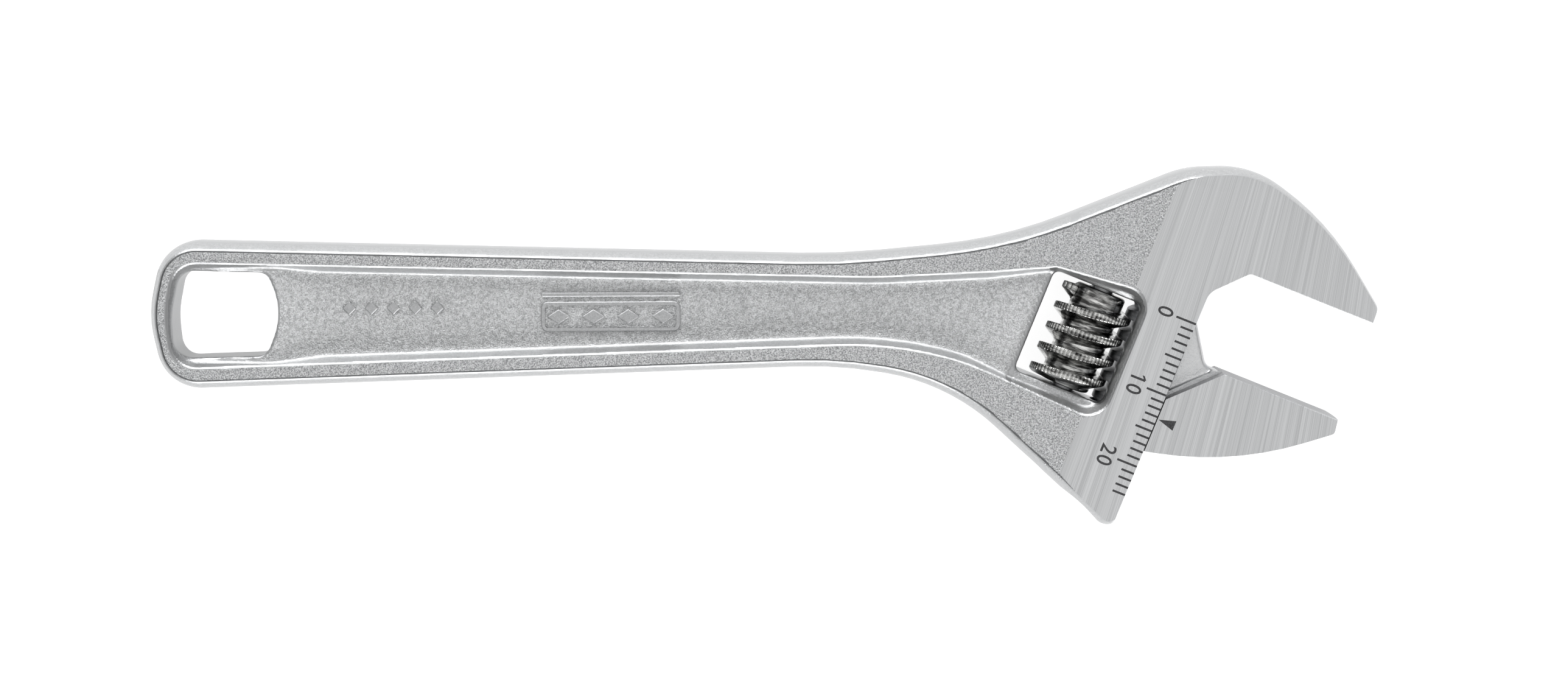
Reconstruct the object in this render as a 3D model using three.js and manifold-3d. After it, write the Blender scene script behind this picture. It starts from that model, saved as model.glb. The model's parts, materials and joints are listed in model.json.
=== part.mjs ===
// Adjustable wrench: a forged body with the fixed jaw, a sliding jaw on a toothed rod,
// a knurled worm that drives the teeth, the pin that the worm turns on, and the worm's spring.
//
// Frame: +X runs along the handle from its end to the head, +Z is normal to the flat faces.
// The body is drawn first round the centre of the worm and moved to its place at the end.
import * as THREE from 'three';
import { mergeVertices } from 'three/addons/utils/BufferGeometryUtils.js';
import Module from 'manifold-3d';

const wasm = await Module();
wasm.setup();

// Driving dimensions, in millimetres and degrees
const headAngle = 22.2; // tilt of the slide from square across the handle
const headThickness = 10.6; // between the ground faces
const handleThickness = 8.6; // over the two rims of the handle
const webThickness = 5.4; // of the sunk web between the rims
const groundEdge = 3.3; // where the ground faces begin, measured from the worm's axis
const shoulderStart = -14; // where the forged shoulder starts to rise from the handle
const sideRound = 1.1; // how far the forged sides draw in from the middle to the edge
const scaleEdge = 12.4; // straight edge of the body beside the slide
const rodAxis = 7.75; // distance of the rod's axis from the worm's axis
const rodRadius = 3.75;
const boreRadius = 3.85;
const neckThickness = 4;
const slotWidth = 4.5;
const windowWidth = 12.2; // opening round the worm
const windowLength = 14;
const wormRadius = 5.05;
const wormRoot = 3.4;
const wormLength = 13.3;
const wormPitch = 2.85;
const crestWidth = 0.9;
const steepFlank = 3;
const slopingFlank = 30;
const wormStart = -5.7; // where the thread begins along the worm
const wormEnd = 6; // where it ends
const wormPhase = 0.86; // the thread's place on the +Z side of the worm
const pinRadius = 1.5;
const jawOpening = 13.3; // gap between the two jaw faces as drawn

const headTilt = THREE.MathUtils.degToRad(headAngle);
const degrees = (value) => THREE.MathUtils.degToRad(value);

// Head coordinates: n is measured square to the slide, towards the jaw tips,
// and s along the slide, towards the fixed jaw
function atHead(n, s, radius = 0) {
  const x = n * Math.cos(headTilt) + s * Math.sin(headTilt);
  const y = s * Math.cos(headTilt) - n * Math.sin(headTilt);
  return [x, y, radius];
}

// A closed outline through corners [x, y, radius], each rounded with an arc
function roundedOutline(corners, arcStep = 8) {
  const points = [];
  corners.forEach(([x, y, radius], index) => {
    const corner = new THREE.Vector2(x, y);
    if (!radius) {
      points.push(corner);
      return;
    }
    const before = corners.at(index - 1);
    const after = corners[(index + 1) % corners.length];
    const toBefore = new THREE.Vector2(before[0] - x, before[1] - y).normalize();
    const toAfter = new THREE.Vector2(after[0] - x, after[1] - y).normalize();
    const half = Math.acos(THREE.MathUtils.clamp(toBefore.dot(toAfter), -1, 1)) / 2;
    const inward = toBefore.clone().add(toAfter).normalize();
    const centre = corner.clone().addScaledVector(inward, radius / Math.sin(half));
    const start = corner.clone().addScaledVector(toBefore, radius / Math.tan(half));
    const turn = -Math.sign(toBefore.cross(toAfter)) * (Math.PI - 2 * half);
    const steps = Math.max(2, Math.ceil(Math.abs(turn) / degrees(arcStep)));
    for (let step = 0; step <= steps; step += 1) {
      points.push(start.clone().rotateAround(centre, (turn * step) / steps));
    }
  });
  return points;
}

// The outline moved inwards by a distance, square to its own edges
function insetOutline(outline, distance) {
  return outline.map((point, index) => {
    const before = outline.at(index - 1);
    const after = outline[(index + 1) % outline.length];
    const into = point.clone().sub(before).normalize();
    const out = after.clone().sub(point).normalize();
    const normal = new THREE.Vector2(-into.y - out.y, into.x + out.x).normalize();
    const mitre = Math.max(0.5, normal.dot(new THREE.Vector2(-into.y, into.x)));
    return point.clone().addScaledVector(normal, distance / mitre);
  });
}

function toGeometry(positions, indices) {
  const geometry = new THREE.BufferGeometry();
  geometry.setAttribute('position', new THREE.Float32BufferAttribute(positions, 3));
  geometry.setIndex(indices);
  return geometry;
}

// Closed solid through stacked rings of one outline; each level is [height, inset]
function ringSolid(outline, levels) {
  const positions = [];
  const indices = [];
  const count = outline.length;
  levels.forEach(([height, inset]) => {
    insetOutline(outline, inset).forEach((point) => positions.push(point.x, point.y, height));
  });
  for (let level = 0; level < levels.length - 1; level += 1) {
    for (let index = 0; index < count; index += 1) {
      const a = level * count + index;
      const b = level * count + ((index + 1) % count);
      indices.push(a, b, b + count, a, b + count, a + count);
    }
  }
  const top = (levels.length - 1) * count;
  const floor = insetOutline(outline, levels[0][1]);
  THREE.ShapeUtils.triangulateShape(floor, []).forEach(([a, b, c]) => indices.push(a, c, b));
  const lid = insetOutline(outline, levels.at(-1)[1]);
  THREE.ShapeUtils.triangulateShape(lid, []).forEach(([a, b, c]) => {
    indices.push(top + a, top + b, top + c);
  });
  return solid(toGeometry(positions, indices));
}

// Turns a closed geometry into a solid that can be joined and cut
function solid(source) {
  let geometry = source.clone();
  geometry.deleteAttribute('normal');
  geometry.deleteAttribute('uv');
  geometry = mergeVertices(geometry, 1e-4);
  return new wasm.Manifold(new wasm.Mesh({
    numProp: 3,
    vertProperties: new Float32Array(geometry.attributes.position.array),
    triVerts: new Uint32Array(geometry.index.array),
  }));
}

function solidGeometry(body) {
  const mesh = body.getMesh();
  const positions = [];
  for (let index = 0; index < mesh.vertProperties.length; index += mesh.numProp) {
    positions.push(...mesh.vertProperties.slice(index, index + 3));
  }
  return toGeometry(positions, Array.from(mesh.triVerts));
}

// Flat plate with the given outline between two heights
function plate(outline, low, high) {
  const shape = new THREE.Shape(outline);
  const geometry = new THREE.ExtrudeGeometry(shape, { depth: high - low, bevelEnabled: false });
  return solid(geometry.translate(0, 0, low));
}

// Bar with its section drawn as [across, height] points. It runs along the slide,
// or square to the handle with a tilt of 0
function bar(section, from, to, tilt = headTilt) {
  const shape = new THREE.Shape(section.map(([across, height]) => new THREE.Vector2(across, height)));
  const geometry = new THREE.ExtrudeGeometry(shape, { depth: to - from, bevelEnabled: false });
  geometry.rotateX(Math.PI / 2).translate(0, to, 0).rotateZ(-tilt);
  return solid(geometry);
}

// Round bar or bore along the slide
function roundAlongSlide(radius, n, from, to, segments = 32) {
  const geometry = new THREE.CylinderGeometry(radius, radius, to - from, segments);
  geometry.translate(n, (from + to) / 2, 0).rotateZ(-headTilt);
  return solid(geometry);
}

// Body: forged handle and fixed jaw

const halfHead = headThickness / 2;
const halfHandle = handleThickness / 2;
const halfWeb = webThickness / 2;
const fixedJawFace = 16.2; // place of the fixed jaw's face along the slide
const jawFace = fixedJawFace - jawOpening;
const windowLeft = -7;
const windowBottom = -6.8;
const windowRight = windowLeft + windowWidth;
const windowTop = windowBottom + windowLength;

const bodyOutline = roundedOutline([
  [-119.6, 13.7, 5.8],
  [-121.8, 3.9, 14],
  [-119.6, -5.9, 5.8],
  [-31.8, -3.2, 55],
  [-17.45, -5.75, 28],
  atHead(13.3, -22.3, 1.9),
  atHead(13.3, -5),
  atHead(24, 8),
  atHead(34.1, 14.3),
  [38.3, 4.2, 1.3],
  [31.6, 15.55, 34],
  [22, 22.55, 12],
  [13.3, 22.4, 13],
  [-10.2, 13.25, 60],
  [-31.8, 11.3, 90],
]);

// The forged sides are full at the parting line and draw in towards both faces
const forgedSides = [-1, -0.86, -0.5, 0, 0.5, 0.86, 1].map((level) => {
  return [level, sideRound * Math.abs(level) ** 3];
});
const forging = ringSolid(bodyOutline, forgedSides);

// Half thickness of the forged head: it grows from the shoulder up to the ground faces
const shoulderRise = (halfHead - halfHandle) / (groundEdge - shoulderStart);
function forgedHeight(x, y) {
  const n = x * Math.cos(headTilt) - y * Math.sin(headTilt);
  return halfHandle + (n - shoulderStart) * shoulderRise;
}

// Gives a solid of half thickness 1 the half thickness returned by the function
function thicken(body, height) {
  const geometry = solidGeometry(body);
  const position = geometry.attributes.position;
  for (let index = 0; index < position.count; index += 1) {
    const z = position.getZ(index) * height(position.getX(index), position.getY(index));
    position.setZ(index, z);
  }
  return solid(geometry);
}

const headSide = plate(roundedOutline([
  atHead(shoulderStart - 3, -40),
  atHead(60, -40),
  atHead(60, 60),
  atHead(shoulderStart - 3, 60),
]), -2, 2);
const groundFaces = plate(roundedOutline([
  [-60, -60, 0],
  [80, -60, 0],
  [80, 60, 0],
  [-60, 60, 0],
]), -halfHead, halfHead);
const head = thicken(forging.intersect(headSide), forgedHeight).intersect(groundFaces);
const handle = thicken(forging, () => halfHandle);

// Sunk web between the rims, which runs on round the worm's window
const recessOutline = roundedOutline([
  [-118.3, -3.05, 3.5],
  [-21.8, -0.02, 50],
  atHead(windowRight + 0.1, -8.3, 2.6),
  atHead(windowRight + 0.1, 8.4, 2.4),
  atHead(-6.9, 7.55, 2),
  [-27, 8.6, 60],
  [-117.9, 10.95, 3.5],
  [-119.2, 4.1, 15],
]);
const wallSlope = 0.64;
const recess = ringSolid(recessOutline, [
  [halfWeb, wallSlope * (halfHandle - halfWeb)],
  [halfHandle, 0],
  [halfHead + 1, -wallSlope * (halfHead + 1 - halfHandle)],
]);
// The web thickens again towards the window and towards the hanging hole
const windowRamp = bar([
  [-15, 1],
  [8, 1],
  [8, halfWeb + 0.9],
  [windowLeft - 0.7, halfWeb + 0.9],
  [-14.2, halfWeb],
  [-15, halfWeb - 0.2],
], -30, 30);
const holeRamp = bar([
  [-98.9, 1],
  [-98.9, halfWeb],
  [-104.6, halfWeb + 0.8],
  [-106.5, halfWeb + 0.8],
  [-107.5, 1],
], -10, 20, 0);
const upperRecess = recess.subtract(windowRamp).subtract(holeRamp);
const lowerRecess = upperRecess.mirror([0, 0, 1]);

const hangHole = plate(roundedOutline([
  [-118.1, -1.65, 2.4],
  [-106.2, -1.35, 1.8],
  [-103.9, 4.4, 9],
  [-106, 9.45, 1.5],
  [-117.3, 9.72, 2.2],
  [-118.5, 4, 12],
]), -8, 8);

const wormWindow = plate(roundedOutline([
  atHead(windowLeft, windowBottom, 0.9),
  atHead(windowRight, windowBottom, 0.9),
  atHead(windowRight, windowTop, 0.9),
  atHead(windowLeft, windowTop, 0.9),
]), -8, 8);

// Open space between the jaws and beside the straight scale edge
const mouth = plate(roundedOutline([
  atHead(scaleEdge, -40),
  atHead(50, -40),
  atHead(50, fixedJawFace),
  atHead(16.4, fixedJawFace, 0.9),
  atHead(scaleEdge, 12, 2.5),
]), -8, 8);

// Slot in the middle of the head for the neck of the sliding jaw
const neckSlot = plate(roundedOutline([
  atHead(rodAxis, -40),
  atHead(scaleEdge + 1, -40),
  atHead(scaleEdge + 1, fixedJawFace - 3.8),
  atHead(17.8, fixedJawFace - 0.5),
  atHead(17.3, fixedJawFace + 0.5),
  atHead(16, 17.5),
  atHead(13.4, 22.4, 0.8),
  atHead(rodAxis, 22.4),
]), -slotWidth / 2, slotWidth / 2);

const pinHole = roundAlongSlide(pinRadius + 0.25, 0, -30, 11.6, 20);
const pinHeadHole = roundAlongSlide(2.3, 0, -30, -10.9, 20);
const rodBore = roundAlongSlide(boreRadius, rodAxis, -40, 21.2, 40);

const bodySolid = handle.add(head)
  .subtract(upperRecess)
  .subtract(lowerRecess)
  .subtract(hangHole)
  .subtract(wormWindow)
  .subtract(mouth)
  .subtract(neckSlot)
  .subtract(rodBore)
  .subtract(pinHole)
  .subtract(pinHeadHole);

// Worm: a knurled screw with a buttress thread, right-handed

const wormBottom = windowBottom + 0.35;
const wormTop = wormBottom + wormLength;

// Point on the worm, from its radius, its turn from +Z towards the slide, and its height
function onWorm(radius, turn, height) {
  const [x, y] = atHead(radius * Math.sin(turn), height);
  return [x, y, radius * Math.cos(turn)];
}

// Section of the thread at one turn; the ends of the thread fade into the root
function threadSection(fade) {
  const inner = wormRoot - 0.3;
  const outer = inner + (wormRadius - inner) * fade;
  const rise = outer - inner;
  const half = crestWidth / 2;
  return [
    [inner, half + (wormRadius - inner) * Math.tan(degrees(steepFlank))],
    [outer, half + (wormRadius - inner - rise) * Math.tan(degrees(steepFlank))],
    [outer, -half - (wormRadius - inner - rise) * Math.tan(degrees(slopingFlank))],
    [inner, -half - (wormRadius - inner) * Math.tan(degrees(slopingFlank))],
  ];
}

function threadSolid() {
  const stepsPerTurn = 32;
  const steps = Math.round(((wormEnd - wormStart) / wormPitch) * stepsPerTurn);
  const positions = [];
  const indices = [];
  for (let step = 0; step <= steps; step += 1) {
    const height = wormStart + ((wormEnd - wormStart) * step) / steps;
    const turn = ((height - wormPhase) / wormPitch) * 2 * Math.PI;
    const fade = Math.min(1, 0.25 + Math.min(step, steps - step) / 3);
    threadSection(fade).forEach(([radius, offset]) => {
      positions.push(...onWorm(radius, turn, height + offset));
    });
  }
  for (let step = 0; step < steps; step += 1) {
    for (let side = 0; side < 4; side += 1) {
      const a = step * 4 + side;
      const b = step * 4 + ((side + 1) % 4);
      indices.push(a, b + 4, a + 4, a, b, b + 4);
    }
  }
  const last = steps * 4;
  indices.push(0, 2, 1, 0, 3, 2);
  indices.push(last, last + 1, last + 2, last, last + 2, last + 3);
  return solid(toGeometry(positions, indices));
}

const springPocket = 2.75;
const pocketDepth = 4.4;
const thread = threadSolid()
  .intersect(roundAlongSlide(wormRadius + 1, 0, wormBottom + 0.15, wormTop - 0.15, 16));
const wormSolid = roundAlongSlide(wormRoot, 0, wormBottom, wormTop, 32)
  .add(thread)
  .subtract(roundAlongSlide(pinRadius + 0.3, 0, wormBottom - 1, wormTop + 1, 20))
  .subtract(roundAlongSlide(springPocket, 0, wormBottom - 1, wormBottom + pocketDepth, 20));

// Spring in the pocket under the worm, wound round the pin

class SpringCurve extends THREE.Curve {
  getPoint(t, target = new THREE.Vector3()) {
    const turns = 5;
    const [x, y, z] = onWorm(2.15, turns * 2 * Math.PI * t, wormBottom + 0.35 + 3.5 * t);
    return target.set(x, y, z);
  }
}
const wireSection = new THREE.Shape();
wireSection.absarc(0, 0, 0.22, 0, 2 * Math.PI);
const springGeometry = new THREE.ExtrudeGeometry(wireSection, {
  steps: 100,
  curveSegments: 3,
  extrudePath: new SpringCurve(),
});

// Pin that holds the worm, with a slotted head in the lower edge of the body

const pinHeadTop = -11.3;
const pinBottom = -16.2;
const pinSlot = plate(roundedOutline([
  atHead(-0.35, pinBottom - 1),
  atHead(0.35, pinBottom - 1),
  atHead(0.35, pinBottom + 0.9),
  atHead(-0.35, pinBottom + 0.9),
]), -4, 4);
const pinSolid = roundAlongSlide(pinRadius, 0, pinBottom, 11.2, 20)
  .add(roundAlongSlide(2, 0, pinBottom, pinHeadTop, 20))
  .subtract(pinSlot);

// Sliding jaw: plate, neck and toothed rod in one piece

const jawEdge = scaleEdge + 0.25;
const jawForging = ringSolid(roundedOutline([
  atHead(11, -10.95),
  atHead(23.9, -7.95, 43),
  atHead(34.9, 0.9, 0.9),
  atHead(34.3, 4.5),
  atHead(11, 4.5),
], 6), [-1, -0.6, 0, 0.6, 1].map((level) => [level * halfHead, 0.4 * level ** 2]));
const jawFaces = plate(roundedOutline([
  atHead(jawEdge, -20),
  atHead(40, -20),
  atHead(40, jawFace),
  atHead(jawEdge + 5.8, jawFace),
  atHead(jawEdge, jawFace - 5.85),
]), -8, 8);
const rodTop = 6.8;
const rodBottom = -18.4;
const neck = plate(roundedOutline([
  atHead(rodAxis, -10.1),
  atHead(14, -9.6),
  atHead(20, -6),
  atHead(20, jawFace - 0.6),
  atHead(18.4, jawFace - 0.05),
  atHead(16.2, 2.8, 1.6),
  atHead(12.5, 8.3, 0.6),
  atHead(10.4, 8.3, 1),
  atHead(9.4, 6.2),
  atHead(rodAxis, 6.2),
]), -neckThickness / 2, neckThickness / 2);

// Gaps between the rod's teeth, each the shape of the worm's thread with room to run
const toothRoot = 5.3;
const runningGap = 0.14;
function toothGap(height) {
  const half = crestWidth / 2 + runningGap;
  const outside = 3;
  const depth = toothRoot - outside;
  const shape = new THREE.Shape([
    new THREE.Vector2(outside, -half - depth * Math.tan(degrees(slopingFlank))),
    new THREE.Vector2(toothRoot, -half),
    new THREE.Vector2(toothRoot, half),
    new THREE.Vector2(outside, half + depth * Math.tan(degrees(steepFlank))),
  ]);
  const geometry = new THREE.ExtrudeGeometry(shape, { depth: 12, bevelEnabled: false });
  // the teeth lean across the rod by the worm's lead angle
  const lean = wormPitch / (2 * Math.PI * 4.4);
  geometry.translate(0, height, -6);
  geometry.applyMatrix4(new THREE.Matrix4().makeShear(0, 0, 0, 0, 0, -lean));
  return solid(geometry.rotateZ(-headTilt));
}

let slidingJawSolid = jawForging.intersect(jawFaces)
  .add(neck)
  .add(roundAlongSlide(rodRadius, rodAxis, rodBottom, rodTop, 32));
const firstGap = wormPhase + wormPitch / 4;
for (let gap = -7; gap <= 2; gap += 1) {
  slidingJawSolid = slidingJawSolid.subtract(toothGap(firstGap + gap * wormPitch));
}

// The wrench, standing on its lower ground faces with its origin under its middle

const wrench = new THREE.Group();
function addPiece(name, geometry, color, roughness, metalness) {
  const material = new THREE.MeshStandardMaterial({ color, roughness, metalness });
  const mesh = new THREE.Mesh(geometry, material);
  mesh.name = name;
  wrench.add(mesh);
}
addPiece('body', solidGeometry(bodySolid), 0xb9bbbc, 0.42, 1);
addPiece('sliding_jaw', solidGeometry(slidingJawSolid), 0xb4b6b7, 0.38, 1);
addPiece('worm', solidGeometry(wormSolid), 0x55524f, 0.25, 1);
addPiece('worm_pin', solidGeometry(pinSolid), 0x8b8c8d, 0.35, 1);
addPiece('worm_spring', springGeometry, 0x77787a, 0.3, 1);

const extent = new THREE.Box3().setFromObject(wrench, true);
const middle = extent.getCenter(new THREE.Vector3());
wrench.position.set(-middle.x, -middle.y, -extent.min.z);

export default wrench;
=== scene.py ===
import bpy, bmesh, json, math
from mathutils import Vector, Matrix


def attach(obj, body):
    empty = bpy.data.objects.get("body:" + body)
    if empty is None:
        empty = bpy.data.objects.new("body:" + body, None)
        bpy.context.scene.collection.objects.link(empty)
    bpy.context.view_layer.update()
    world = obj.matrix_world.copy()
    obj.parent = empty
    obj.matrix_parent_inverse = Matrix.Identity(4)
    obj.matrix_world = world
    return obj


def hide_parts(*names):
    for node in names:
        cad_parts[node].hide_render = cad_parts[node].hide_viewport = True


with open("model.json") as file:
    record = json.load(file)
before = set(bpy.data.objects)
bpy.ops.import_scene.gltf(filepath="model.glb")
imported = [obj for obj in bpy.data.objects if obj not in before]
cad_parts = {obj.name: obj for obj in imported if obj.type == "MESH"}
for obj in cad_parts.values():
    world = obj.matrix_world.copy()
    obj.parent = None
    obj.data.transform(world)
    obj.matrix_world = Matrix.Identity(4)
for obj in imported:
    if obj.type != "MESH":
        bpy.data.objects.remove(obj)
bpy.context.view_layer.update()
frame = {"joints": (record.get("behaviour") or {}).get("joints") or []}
print("wrench: CAD frame loaded")

# Everything is drawn in millimetres round the centre of the worm, with the head's
# own directions n (square to the slide, to the jaw tips) and s (along the slide),
# and is carried to the frame in metres when a piece is finished.
headTilt = math.radians(22.2)
wormJoint = next(joint for joint in frame["joints"] if joint["name"] == "worm_turn")
wormCentre = Vector(wormJoint["pos_m"])
toFrame = Matrix.Translation(wormCentre) @ Matrix.Scale(0.001, 4)
headTurn = Matrix.Rotation(-headTilt, 4, "Z")

head = {
    "halfHead": 5.3, "halfHandle": 4.3, "halfWeb": 2.7,
    "groundEdge": 3.3, "shoulderStart": -14.0, "sideRound": 1.1, "wallSlope": 0.64,
    "scaleEdge": 12.4, "rodAxis": 7.75, "rodRadius": 3.75, "boreRadius": 3.85,
    "slotWidth": 4.5, "fixedJawFace": 16.2, "jawFace": 2.9,
    "windowLeft": -7.0, "windowRight": 5.2, "windowBottom": -6.8, "windowTop": 7.2,
    "pinRadius": 1.5, "handleMiddle": 3.9, "tailCentre": -112.0,
    "holeRight": -103.0, "holeLow": -1.9, "holeHigh": 9.9,
    "forgeVoxel": 0.26, "forgeSmooth": 7, "forgeKeep": 0.42,
}


def atHead(n, s, radius=0.0):
    x = n * math.cos(headTilt) + s * math.sin(headTilt)
    y = s * math.cos(headTilt) - n * math.sin(headTilt)
    return (x, y, radius)


# the other way: a drawn place as (n, s)
def headPlace(x, y):
    n = x * math.cos(headTilt) - y * math.sin(headTilt)
    s = x * math.sin(headTilt) + y * math.cos(headTilt)
    return n, s


# 0 up to start, then rising evenly to 1 over width
def rising(value, start, width):
    return min(1, max(0, (value - start) / width))


# outline through corners (x, y, radius), each rounded with an arc
def roundedOutline(corners, arcStep=4.0):
    points = []
    count = len(corners)
    for index, (x, y, radius) in enumerate(corners):
        corner = Vector((x, y))
        if not radius:
            points.append(corner)
            continue
        toBefore = (Vector(corners[index - 1][:2]) - corner).normalized()
        toAfter = (Vector(corners[(index + 1) % count][:2]) - corner).normalized()
        half = toBefore.angle(toAfter) / 2
        inward = (toBefore + toAfter).normalized()
        centre = corner + inward * radius / math.sin(half)
        start = corner + toBefore * radius / math.tan(half)
        turn = -math.copysign(math.pi - 2 * half, toBefore.x * toAfter.y - toBefore.y * toAfter.x)
        steps = max(2, math.ceil(abs(turn) / math.radians(arcStep)))
        for step in range(steps + 1):
            angle = turn * step / steps
            arm = start - centre
            points.append(centre + Vector((arm.x * math.cos(angle) - arm.y * math.sin(angle),
                                           arm.x * math.sin(angle) + arm.y * math.cos(angle))))
    return points


def insetOutline(outline, distance):
    moved = []
    count = len(outline)
    for index, point in enumerate(outline):
        into = (point - outline[index - 1]).normalized()
        out = (outline[(index + 1) % count] - point).normalized()
        normal = Vector((-into.y - out.y, into.x + out.x)).normalized()
        mitre = max(0.5, normal.dot(Vector((-into.y, into.x))))
        moved.append(point + normal * distance / mitre)
    return moved


def makeObject(name, mesh):
    piece = bpy.data.objects.new(name, mesh)
    bpy.context.scene.collection.objects.link(piece)
    return piece


def fromBmesh(name, bm):
    bmesh.ops.recalc_face_normals(bm, faces=bm.faces)
    bmesh.ops.triangulate(bm, faces=[face for face in bm.faces if len(face.verts) > 4])
    mesh = bpy.data.meshes.new(name)
    bm.to_mesh(mesh)
    bm.free()
    return makeObject(name, mesh)


# closed solid through rings of points, each ring a list of (x, y, z)
def ringsSolid(name, rings):
    bm = bmesh.new()
    levels = [[bm.verts.new(point) for point in ring] for ring in rings]
    count = len(levels[0])
    for low, high in zip(levels, levels[1:]):
        for index in range(count):
            after = (index + 1) % count
            bm.faces.new((low[index], low[after], high[after], high[index]))
    bm.faces.new(list(reversed(levels[0])))
    bm.faces.new(levels[-1])
    return fromBmesh(name, bm)


def levelsSolid(name, outline, levels):
    rings = [[(p.x, p.y, height) for p in insetOutline(outline, inset)] for height, inset in levels]
    return ringsSolid(name, rings)


def plate(name, outline, low, high):
    return levelsSolid(name, outline, [(low, 0), (high, 0)])


# bar with its section given as (across, height) points, along the slide or, with
# square=True, square to the handle
def bar(name, section, start, end, square=False):
    rings = []
    for along in (start, end):
        rings.append([((across, along) if square else atHead(across, along)[:2]) + (height,)
                      for across, height in section])
    return ringsSolid(name, rings)


# turned solid along the slide, from a profile of (s, radius)
def turnedAlongSlide(name, n, profile, segments=96):
    rings = []
    for s, radius in profile:
        ring = []
        for step in range(segments):
            angle = 2 * math.pi * step / segments
            x, y, _ = atHead(n + radius * math.cos(angle), s)
            ring.append((x, y, radius * math.sin(angle)))
        rings.append(ring)
    return ringsSolid(name, rings)


# puts the modifiers' result into the mesh, removes them, and leaves a plain mesh
def settle(piece):
    depsgraph = bpy.context.evaluated_depsgraph_get()
    mesh = bpy.data.meshes.new_from_object(piece.evaluated_get(depsgraph))
    piece.modifiers.clear()
    piece.data = mesh
    return piece


def join(piece, other, operation="DIFFERENCE"):
    cutter = piece.modifiers.new("join", "BOOLEAN")
    cutter.operation = operation
    cutter.solver = "MANIFOLD"
    cutter.object = other
    settle(piece)
    bpy.data.objects.remove(other)
    return piece


def remesh(piece, voxel, smooth, keep=1.0):
    grid = piece.modifiers.new("grid", "REMESH")
    grid.mode = "VOXEL"
    grid.voxel_size = voxel
    if smooth:
        softer = piece.modifiers.new("softer", "SMOOTH")
        softer.factor = 0.5
        softer.iterations = smooth
    if keep < 1:
        thinner = piece.modifiers.new("thinner", "DECIMATE")
        thinner.ratio = keep
    return settle(piece)


def thicken(piece, height):
    for vertex in piece.data.vertices:
        vertex.co.z *= height(vertex.co.x, vertex.co.y)
    return piece


# gives a finished piece its finishes, one per face where a rule is given, and its place
def finishPiece(piece, materials, body, rule=None, sharpAngle=35.0):
    mesh = piece.data
    mesh.materials.clear()
    for material in materials:
        mesh.materials.append(material)
    for polygon in mesh.polygons:
        polygon.use_smooth = True
        polygon.material_index = rule(polygon.center, polygon.normal) if rule else 0
    mesh.transform(toFrame)
    mesh.set_sharp_from_angle(angle=math.radians(sharpAngle))
    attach(piece, body)
    return piece


# sRGB hex to the linear colour the shaders take
def linear(hexColour):
    channels = [int(hexColour[i:i + 2], 16) / 255 for i in (1, 3, 5)]
    return tuple(c / 12.92 if c <= 0.04045 else ((c + 0.055) / 1.055) ** 2.4 for c in channels) + (1,)


# adds a node, sets its properties and inputs, and links what is given as a socket
def addNode(tree, kind, inputs=None, **settings):
    node = tree.nodes.new(kind)
    for name, value in settings.items():
        setattr(node, name, value)
    for name, value in (inputs or {}).items():
        socket = node.inputs[name]
        if isinstance(value, bpy.types.NodeSocket):
            tree.links.new(value, socket)
        else:
            socket.default_value = value
    return node


def newMaterial(name):
    material = bpy.data.materials.new(name)
    material.use_nodes = True
    material.node_tree.nodes.clear()
    return material, material.node_tree


def closeMaterial(tree, shader):
    addNode(tree, "ShaderNodeOutputMaterial", {"Surface": shader.outputs[0]})


def reckon(tree, operation, *values):
    return addNode(tree, "ShaderNodeMath", dict(enumerate(values)), operation=operation).outputs[0]


def blend(tree, share, low, high):
    return addNode(tree, "ShaderNodeMix", {0: share, 6: low, 7: high}, data_type="RGBA").outputs[2]


def stretch(tree, place, factors, turn=0.0):
    return addNode(tree, "ShaderNodeMapping", {"Vector": place, "Rotation": (0, 0, turn),
                                               "Scale": factors}).outputs[0]


def noise(tree, place, scale, detail, roughness=0.5):
    return addNode(tree, "ShaderNodeTexNoise", {"Vector": place, "Scale": scale, "Detail": detail,
                                                "Roughness": roughness}).outputs["Fac"]


# runs from one (position, sRGB hex) to another
def toneRamp(tree, source, dark, light):
    ramp = addNode(tree, "ShaderNodeValToRGB", {"Fac": source})
    for element, (position, hexColour) in zip(ramp.color_ramp.elements, (dark, light)):
        element.position = position
        element.color = linear(hexColour)
    return ramp.outputs[0]


# Satin chrome over drop-forged steel. The rolled sides are smooth; the rims carry a fine
# blasted grain about 0.15 mm across, and the web a coarser one of about 0.4 mm as well.
# The piece's own attributes say where each is, which edges face outward, where painted
# shade darkens the outward rim edges, and how much painted shade each small wall gets
grainNames = ("rim_grain", "web_grain", "outward", "outline")


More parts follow.
